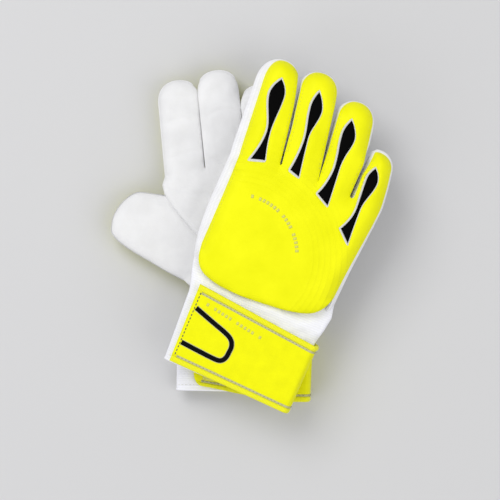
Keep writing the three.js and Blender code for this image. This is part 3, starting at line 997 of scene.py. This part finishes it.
# How far the sleeve reaches to its left and right at each y.
CUFF_SIDES = {
    "left": dict(y=(-27.3, 15, 27, 36, 47, 62), left=(-50.9, -50.5, -47.5, -44, -41.0, -40),
                 right=(47.4, 47.4, 47.6, 49, 50, 47)),
    "right": dict(y=(-27.6, 15, 27, 36, 47, 62), left=(-53.4, -54.8, -55.2, -57.2, -60.4, -61.5),
                  right=(46.4, 46.4, 47.2, 49.6, 51.5, 48.6)),
}
CUFF_SKEW = 0.018


def cuff_ring(glove, y, shrink):
    """One cross-section of the wrist sleeve, as points [x, y, h]."""
    sides = CUFF_SIDES[glove.side]
    left, right = (np.interp(y, sides["y"], sides[k]) for k in ("left", "right"))
    up = smooth((y - 34.0) / 14.0)
    low, high = 3.7 + 1.5 * up, 15.8 - 3.0 * up
    ring = superellipse(AROUND, (right - left) / 2 - shrink, (high - low) / 2 - shrink, 4.0)
    x = ring[:, 0] + (left + right) / 2
    loose = smooth((y - 12) / 12)
    pucker = 0.3 * np.sin(x * 0.5 + 0.5 * np.sin(y * 0.35)) * np.sin(0.55 * y + 0.11 * x) * loose
    pucker += 0.4 * undulation(np.column_stack([x * 0.8, np.full(AROUND, y * 1.4)])) * loose
    ring[:, 1] += np.sign(ring[:, 1]) * pucker * smooth(np.abs(ring[:, 1]) / 3)
    skewed = y - CUFF_SKEW * (x - left) * (1 - smooth((y + 27) / 50))
    return np.column_stack([x, skewed, ring[:, 1] + (low + high) / 2])


def build_cuff(glove):
    start, end = CUFF_SIDES[glove.side]["y"][0], CUFF_SIDES[glove.side]["y"][-1]
    ys = np.linspace(start, end, 82)
    rings = [cuff_ring(glove, y, 0.0) for y in ys] + [cuff_ring(glove, y, CUFF_WALL) for y in ys[::-1]]
    points = np.vstack(rings)
    faces = [f[1:] + f[:1] for f in grid_faces(len(rings), AROUND, True, True)]
    uv = np.column_stack([np.tile(np.arange(AROUND) * 1.4, len(rings)), points[:, 1]])
    add_piece(glove, "cuff_sleeve", points, faces, M["elastic"], uv=uv, nodes=["cuff"])
    points, faces = tube(cuff_ring(glove, start + 0.8, CUFF_WALL / 2), 1.15, closed=True, sides=10)
    add_piece(glove, "cuff_hem", points, faces, M["elastic"], nodes=["cuff"])
    seam = cuff_ring(glove, start + 4.2, -0.1)
    points, faces = stitches(np.vstack([seam, seam[:1]]), 3.0, 2.0, 0.22)
    add_piece(glove, "cuff_stitch", points, faces, M["white_thread"])


STRAP = dict(free={"left": -44.0, "right": -49.2}, thick=2.5, middle=20.5, under=1.6,
             fold={"left": 50.9, "right": 48.4}, reach=3.4, end=-37.6)
# Lower and upper edges of the strap, as lines through (x, y): over the back, and along the palm.
STRAP_EDGES = {
    "left": dict(flap=([(-60, -20.9), (34, -36.0), (60, -36.2)], [(-60, 32.5), (60, 16.6)]),
                 under=([(-60, -20.7), (0, -30.6), (33, -36.0), (60, -36.2)], [(-60, 33.3), (60, 16.6)])),
    "right": dict(flap=([(-60, -25.6), (60, -31.2)], [(-60, 37.0), (60, 23.0)]),
                  under=([(-60, -26.5), (60, -31.2)], [(-60, 33.5), (60, 23.0)])),
}
BINDING = 4.2
PRESSED = 0.6
STRAP_WIDTH = 56.5
FLAP_STEPS, FOLD_STEPS, UNDER_STEPS = 76, 24, 60
LINE_TRIM = 3


def strap_stations(glove):
    """The strap's middle from its free end, over the back, round the fold and along the palm side.

    Each station is (x, h, lower y, upper y).
    """
    turn = STRAP["fold"][glove.side] - STRAP["reach"]
    radius = (STRAP["middle"] - STRAP["under"]) / 2
    flap = [(x, STRAP["middle"], 0.0) for x in np.linspace(STRAP["free"][glove.side], turn, FLAP_STEPS)]
    fold = [(turn + STRAP["reach"] * math.sin(a), STRAP["under"] + radius * (1 + math.cos(a)), a / math.pi)
            for a in np.linspace(0, math.pi, FOLD_STEPS)[1:]]
    under = [(x, STRAP["under"], 1.0) for x in np.linspace(turn, STRAP["end"], UNDER_STEPS)[1:]]
    rows = []
    lines = STRAP_EDGES[glove.side]
    for x, h, t in flap + fold + under:
        over, along = ([np.interp(x, *zip(*edge)) for edge in lines[run]] for run in ("flap", "under"))
        rows.append((x, h, *(a + (b - a) * t for a, b in zip(over, along))))
    return np.array(rows)


HALF_FOLD = FLAP_STEPS + FOLD_STEPS // 2 - 1
RUNS = {"flap": slice(0, HALF_FOLD + 1), "under": slice(HALF_FOLD, None)}


def strap_wave(glove, x, y):
    """How far the flap waves off its middle height; the lower glove's is pressed by the ground."""
    loose = smooth((STRAP["fold"][glove.side] - 6 - x) / 20)
    wave = 0.22 * np.sin(0.085 * x + 0.05 * y) + 0.12 * np.sin(0.21 * x - 0.13 * y)
    return (wave - (PRESSED if glove.palm_up else 0.0)) * loose


def strap_points(glove, run, fractions, shift=0.0, lift=0.0):
    """Points [station, fraction] on the strap's middle, moved outwards by lift.

    The flap waves; the end of the palm run has rounded corners.
    """
    stations = strap_stations(glove)
    tangent = unit(np.gradient(stations[:, :2], axis=0))
    x, h, low, high = stations[RUNS[run]].T
    nx, nh = -tangent[RUNS[run], 1], tangent[RUNS[run], 0]
    t = np.atleast_2d(fractions)
    y = low[:, None] + (high - low)[:, None] * t + shift
    x, h, lift = x[:, None] + 0 * y, h[:, None] + 0 * y, np.asarray(lift) + 0 * y
    near_fold = smooth((x - STRAP["fold"][glove.side] + 30) / 26)
    lean = 0.045 * (y + 1) if glove.palm_up else 0.03 * (y - 14) + 0.9 * smooth((t - 0.92) / 0.05)
    x = x + near_fold * lean
    if run == "under":
        corner = np.clip(1 - np.minimum(t, 1 - t) / 0.17, 0, 1)
        pull = 7.5 * (1 - np.sqrt(1 - corner**2))
        x = x + pull * smooth((STRAP["end"] + 40 - x) / 40)
    else:
        h = h + strap_wave(glove, x, y)
    return np.dstack([x + nx[:, None] * lift, y, h + nh[:, None] * lift])


def strap_slab(glove, run, low, high, thick, steps=16):
    """A closed strip of the strap between two fractions of its width."""
    t = np.linspace(low, high, steps)
    count = len(strap_points(glove, run, t))
    ends = np.minimum(np.arange(count), np.arange(count)[::-1])[:, None] * 1.3
    open_ends = np.where(np.arange(count)[:, None] < count / 2, run == "flap", run == "under")
    rim = np.minimum(np.minimum(t - low, high - t)[None] * STRAP_WIDTH, np.where(open_ends, ends, 9.0))
    soft = thick / 2 * (1 - 0.45 * (1 - np.clip(rim / 1.4, 0, 1)) ** 2)
    outer = strap_points(glove, run, t, lift=soft).reshape(-1, 3)
    inner = strap_points(glove, run, t, lift=-soft).reshape(-1, 3)
    n, faces = count * steps, []
    for a, b, c, d in grid_faces(count, steps):
        faces += [(a, d, c, b), (a + n, b + n, c + n, d + n)]
    ring = ([i * steps for i in range(count)] + [(count - 1) * steps + j for j in range(1, steps)]
            + [i * steps + steps - 1 for i in range(count - 2, -1, -1)] + list(range(steps - 2, 0, -1)))
    for a, b in zip(ring, ring[1:] + ring[:1]):
        faces.append((b, a, a + n, b + n))
    return np.vstack([outer, inner]), faces


def strap_line(glove, run, fraction, shift, lift):
    """A line along the outer face of the strap at a fraction of its width, short of the open end."""
    points = strap_points(glove, run, [fraction], shift, STRAP["thick"] / 2 + lift)[:, 0]
    return points[LINE_TRIM:] if run == "flap" else points[:-LINE_TRIM]


def strap_piece(glove, name, run, points, faces, material, nodes=()):
    """Ride the palm run on the hand; the flap is placed as it lies, its transform baked, and is not
    attached to a body.
    """
    if run == "under":
        add_piece(glove, f"under_{name}", points, faces, material, nodes=nodes)
        return
    piece = add_object(f"{glove.side}_{name}", glove.place(points), faces, points[:, :2], material,
                       glove.palm_up)
    fold = STRAP["fold"][glove.side]
    blend(glove, piece, [(fold - reach, 0, STRAP["middle"]) for reach in (1, 17)])
    replace_nodes(glove, nodes)


def on_strap(glove, path, lift):
    """Points on the outer face of the flap under a path of places."""
    path = np.asarray(path)
    x, y = path[:, 0], path[:, 1]
    return np.column_stack([x, y, STRAP["middle"] + strap_wave(glove, x, y) + STRAP["thick"] / 2 + lift])


LOOP_PATH = [(-45.2, 18.2), (-31.0, 13.2), (-17.6, 8.7), (-12.2, 5.4), (-10.1, 1.0), (-10.2, -3.6),
             (-10.9, -8.3), (-13.4, -11.6), (-18.2, -12.4), (-32.1, -11.2), (-46.0, -9.8)]
LOOP_HALF = 1.75
STRAP_MARKS = ((-38.0, 23.6), (7.0, 15.4))


def ribbon(path, half, thick):
    """A flat raised ribbon along a path [x, y, h]."""
    path = np.asarray(path)
    side = np.column_stack([sideways(path), np.zeros(len(path))])
    rows = []
    for across, up in ((-1.0, -0.4), (-1.0, 0.6), (-0.85, 1.0), (0.85, 1.0), (1.0, 0.6), (1.0, -0.4)):
        row = path + side * across * half
        row[:, 2] += up * thick
        rows.append(row)
    count, n = len(rows), len(path)
    points = np.vstack(rows)
    faces = [tuple(r * n + n - 1 for r in range(count)), tuple(r * n for r in range(count - 1, -1, -1))]
    return points, [tuple(reversed(f)) for f in faces + grid_faces(count, n, True)]


BAR_HALF = 0.95
BAR_THICK = 0.1


def bars(places, directions, half_width):
    """Small flat raised bars at places [x, y, h], each along its own direction."""
    points, faces = [], []
    for (x, y, h), angle in zip(places, directions):
        c, s = math.cos(angle), math.sin(angle)
        first = len(points)
        for up in (-BAR_THICK, BAR_THICK):
            for a, b in ((-1, -1), (1, -1), (1, 1), (-1, 1)):
                a, b = a * BAR_HALF, b * half_width
                points.append((x + a * c - b * s, y + a * s + b * c, h + up))
        for f in ((3, 2, 1, 0), (4, 5, 6, 7), (0, 1, 5, 4), (1, 2, 6, 5), (2, 3, 7, 6), (3, 0, 4, 7)):
            faces.append(tuple(first + v for v in f))
    return np.array(points), faces


def build_strap(glove):
    band = BINDING / STRAP_WIDTH
    seams = (("lower", band, 0.9), ("upper", 1 - band, -0.9))
    for run in RUNS:
        node = "strap_flap" if run == "flap" else "strap_base"
        points, faces = strap_slab(glove, run, band * 0.8, 1 - band * 0.8, STRAP["thick"])
        strap_piece(glove, "strap_cloth", run, points, faces, M["strap"], [node])
        for label, start in (("lower", 0.0), ("upper", 1 - band)):
            points, faces = strap_slab(glove, run, start, start + band, STRAP["thick"] + 0.6, steps=8)
            nodes = [f"binding_{label}"] if run == "flap" else []
            strap_piece(glove, f"strap_binding_{label}", run, points, faces, M["binding"], nodes)
        for label, fraction, shift in seams:
            # Painted shade: a grey-olive ribbon along each binding seam stands in for the shadow in the
            # step beside the raised binding.
            points, faces = ribbon(strap_line(glove, run, fraction, shift, 0.02), 0.8, 0.12)
            strap_piece(glove, f"strap_groove_{label}", run, points, faces, M["groove_shade_and_grey_print"])
            line = resample(strap_line(glove, run, fraction, shift, 0.12), 0.8)
            points, faces = stitches(line, 2.9, 1.4, 0.2)
            strap_piece(glove, f"strap_stitch_{label}", run, points, faces, M["thread"])

    across = np.column_stack([np.linspace(-46.1, -47.0, 60), np.linspace(30.5, -20.8, 60)])
    points, faces = stitches(on_strap(glove, across, 0.05), 2.9, 1.9, 0.34)
    add_piece(glove, "strap_end_stitch", points, faces, M["hook"], "strap")
    loop = even(LOOP_PATH, 120)
    points, faces = ribbon(on_strap(glove, loop, 0.0), LOOP_HALF + 0.5, 0.16)
    add_piece(glove, "strap_loop_border", points, faces, M["groove_shade_and_grey_print"], "strap")
    points, faces = ribbon(on_strap(glove, loop, 0.1), LOOP_HALF, 0.3)
    add_piece(glove, "strap_loop_print", points, faces, M["print"], "strap",
              nodes=[] if glove.palm_up else ["strap_mark"])
    (ax, ay), (bx, by) = STRAP_MARKS
    along = np.linspace(0, 1, 15)[[0, 2, 3, 4, 5, 6, 8, 9, 10, 11, 12, 14]]
    places = on_strap(glove, np.column_stack([ax + (bx - ax) * along, ay + (by - ay) * along]), 0.03)
    angle = math.atan2(by - ay, bx - ax)
    points, faces = bars(places, [angle] * len(places), 1.15)
    add_piece(glove, "strap_faint_bars", points, faces, M["faint_print"], "strap")
    end = [(STRAP["end"] + 4.0, y, STRAP["under"] - STRAP["thick"] / 2) for y in np.linspace(-15, 22, 40)]
    points, faces = stitches(np.array(end), 2.9, 1.9, 0.3)
    add_piece(glove, "under_strap_end_stitch", points, faces, M["yellow_thread"])
    patch = [(-31, -19), (-16, -21.2), (-15.2, -15), (-30.2, -12.8)]
    verts, faces = triangulate(patch, grid=1.6)
    face = STRAP["under"] - STRAP["thick"] / 2
    points, solid = slab(verts, face - 0.25, face + 0.3, faces[:, ::-1])
    add_piece(glove, "under_strap_label", points, solid, M["faint_print"])


def build_faint_arc(glove):
    """A faint printed arc of bars on the back of the hand."""
    height = surface(glove, "back")
    angles = np.radians(np.linspace(97, 25, 19)[[0, 2, 3, 4, 5, 6, 7, 9, 10, 11, 12, 14, 15, 16, 17, 18]])
    centre = np.array(ARC_CENTRE)
    flat = centre + ARC_RADIUS * np.column_stack([np.cos(angles), np.sin(angles)])
    places = np.column_stack([flat, height(flat) + 0.08])
    points, faces = bars(places, angles - math.pi / 2, 1.3)
    add_piece(glove, "hand_faint_bars", points, faces, M["faint_print"])


def build_patches(glove):
    """Hook tape under the strap's free end and loop tape on the sleeve."""
    for label, node, x0, x1, y0, y1, h, material, region in (
            ("hook_tape", "hook_patch", -41, -14, -18, 26, 18.4, "hook", "strap"),
            ("loop_tape", "loop_patch", -45, 5, -22, 20, 16.4, "loop", "hand")):
        outline = [(x0, y0), (x1, y0), (x1, y1), (x0, y1)]
        verts, faces = triangulate(outline, grid=3.0)
        edge = distance(verts, np.array(outline, dtype=float))
        outer = h + 0.35 - 0.3 * (1 - np.clip(edge / 1.5, 0, 1)) ** 2
        points, solid = slab(verts, outer, h - 0.4, faces)
        add_piece(glove, label, points, solid, M[material], region, nodes=[node])


# ---------------------------------------------------------------- thumb

THUMB_EDGE = [(-57.8, 119.4), (-71, 121.4), (-79.2, 122.2), (-86, 119.4), (-93.2, 112.6), (-98, 104.6),
              (-99.8, 95.6), (-98.8, 90.6), (-93, 84.4), (-83.2, 77.6), (-70.7, 70.2), (-58.2, 62.8),
              (-45.6, 56.2)]
THUMB_SEAM = {"palm": [(-37.2, 51), (-31.2, 68), (-32.2, 86.5), (-42.6, 98.6), (-54.0, 112.6)],
              "back": [(-40, 54), (-44, 66), (-45.5, 84), (-50, 99), (-55.4, 113)]}
THUMB_ROOT = [(-58.5, 117.0), (-41.0, 55.0)]


def build_spread_thumb(glove):
    edge = even(THUMB_EDGE, 70)
    upper, lower = (np.array(p) for p in THUMB_ROOT)
    middle = (upper + lower) / 2
    across = np.array([upper[1] - lower[1], lower[0] - upper[0]])
    across /= np.linalg.norm(across)
    ends = np.array([[*(middle + across * 9), 4.0], [*(middle - across * 11), 4.0]])

    def bent_piece(name, points, faces, uv, material, node):
        piece = add_object(f"left_thumb_{name}", glove.place(points), faces, uv, M[material], True)
        blend(glove, piece, ends)
        replace_nodes(glove, [f"thumb_{node}"])
        return piece

    for layer, thickness, material in (("palm", LATEX, "latex"), ("back", -FOAM, "foam")):
        seam = even([edge[-1], *THUMB_SEAM[layer], edge[0]], 40)
        outline = np.vstack([edge, seam[1:-1]])
        verts, faces = triangulate(outline)
        roll = THUMB_ROLL if layer == "palm" else BACK_ROLL
        drop = rolled(verts, [(edge, False, *roll), (seam, False, *SEAM_ROLL)])
        outer = drop if layer == "palm" else THICK - 0.9 - drop
        if layer == "palm":
            faces = faces[:, ::-1]
        points, solid = slab(verts, outer, outer + thickness, faces)
        bent_piece(f"{layer}_sheet", points, solid, points[:, :2], material, layer)
    outward = sideways(edge)
    top, bottom = THICK - 0.9 - BACK_ROLL[0] - 1.2, THUMB_ROLL[0] + 1.2
    rows = [np.column_stack([edge + outward * (1.5 * math.sin(math.pi * t) ** 0.7 - 0.5),
                             np.full(len(edge), top + (bottom - top) * t)]) for t in np.linspace(0, 1, 9)]
    points = np.vstack(rows)
    n = len(edge)
    uv = np.column_stack([np.tile(np.arange(n) * 2.2, 9), points[:, 2]])
    bent_piece("side_mesh", points, grid_faces(9, n), uv, "mesh", "gusset")


THUMB_PIVOT = (-40.0, 72.0)
THUMB_TUCK = math.radians(80.0)
TUCKED = dict(low=-9.2, high=-0.5)


def build_tucked_thumb(glove):
    """The upper glove's thumb, pressed flat between the gloves."""
    edge = even([*THUMB_EDGE, (-42, 58), (-47, 86), THUMB_EDGE[0]], 90)[:-1]
    c, s = math.cos(-THUMB_TUCK), math.sin(-THUMB_TUCK)
    pivot = np.array(THUMB_PIVOT)
    edge = (edge - pivot) @ np.array([[c, s], [-s, c]]) + pivot
    verts, faces = triangulate(edge, grid=2.2)
    middle = (TUCKED["low"] + TUCKED["high"]) / 2
    half = (TUCKED["high"] - TUCKED["low"]) / 2 - 0.2
    full = half * (1 - (1 - np.clip(distance(verts, edge) / 6.0, 0, 1)) ** 2.4 * 0.8)
    for label, material, outer, inner, turn in (
            ("palm", "latex", middle - full, middle - 0.2, True),
            ("back", "foam", middle + full, middle + 0.2, False)):
        own = faces[:, ::-1] if turn else faces
        points, solid = slab(verts, outer, inner, own)
        nodes = [f"thumb_{label}", *(["thumb_gusset"] if turn else [])]
        add_piece(glove, f"thumb_{label}_sheet", points, solid, M[material], "thumb",
                            nodes=nodes)


# ---------------------------------------------------------------- assembly

for side in ("left", "right"):
    glove = Glove(side)
    build_sheets(glove)
    build_gussets(glove)
    build_edge_stitches(glove)
    build_faint_arc(glove)
    build_cuff(glove)
    build_strap(glove)
    build_patches(glove)
    if glove.palm_up:
        build_spread_thumb(glove)
    else:
        build_tucked_thumb(glove)

# ---------------------------------------------------------------- floor, light and camera

FLOOR_SIZE = 3.0
FIELD = 0.375
CAMERA_HEIGHT = 1.9
SENSOR = 36.0
FOCUS_HEIGHT = 0.035
LOOK = Glove("left").origin[:2] + np.array([0.004875, 0.07875])

floor_mesh = bpy.data.meshes.new("floor")
h = FLOOR_SIZE / 2
floor_mesh.from_pydata([(-h, -h, 0), (h, -h, 0), (h, h, 0), (-h, h, 0)], [], [(0, 1, 2, 3)])
floor = bpy.data.objects.new("floor", floor_mesh)
bpy.context.scene.collection.objects.link(floor)
floor_material = new_material("studio_floor", (0.62, 0.62, 0.63), 0.9, specular=0.1)
floor_mesh.materials.append(floor_material)


def area_light(name, place, target, size, power):
    data = bpy.data.lights.new(name, "AREA")
    data.size, data.energy = size, power
    light = bpy.data.objects.new(name, data)
    light.location = place
    light.rotation_euler = (Vector(target) - Vector(place)).to_track_quat("-Z", "Y").to_euler()
    bpy.context.scene.collection.objects.link(light)


area_light("key", (-0.7, 0.9, 1.5), (0, 0, 0), 1.1, 16.0)
area_light("fill", (1.1, -0.5, 1.3), (0, 0, 0), 1.4, 8.0)
area_light("low", (-0.9, -1.0, 0.8), (0, 0, 0), 1.0, 4.0)
world = bpy.data.worlds.new("studio")
world.use_nodes = True
world.node_tree.nodes["Background"].inputs["Color"].default_value = (1, 1, 1, 1)
world.node_tree.nodes["Background"].inputs["Strength"].default_value = 0.55
bpy.context.scene.world = world
bpy.context.scene.view_settings.view_transform = "Standard"

camera_data = bpy.data.cameras.new("camera")
camera_data.sensor_width = SENSOR
camera_data.lens = SENSOR * (CAMERA_HEIGHT - FOCUS_HEIGHT) / FIELD
camera = bpy.data.objects.new("camera", camera_data)
camera.location = (*LOOK, CAMERA_HEIGHT)
bpy.context.scene.collection.objects.link(camera)
bpy.context.scene.camera = camera
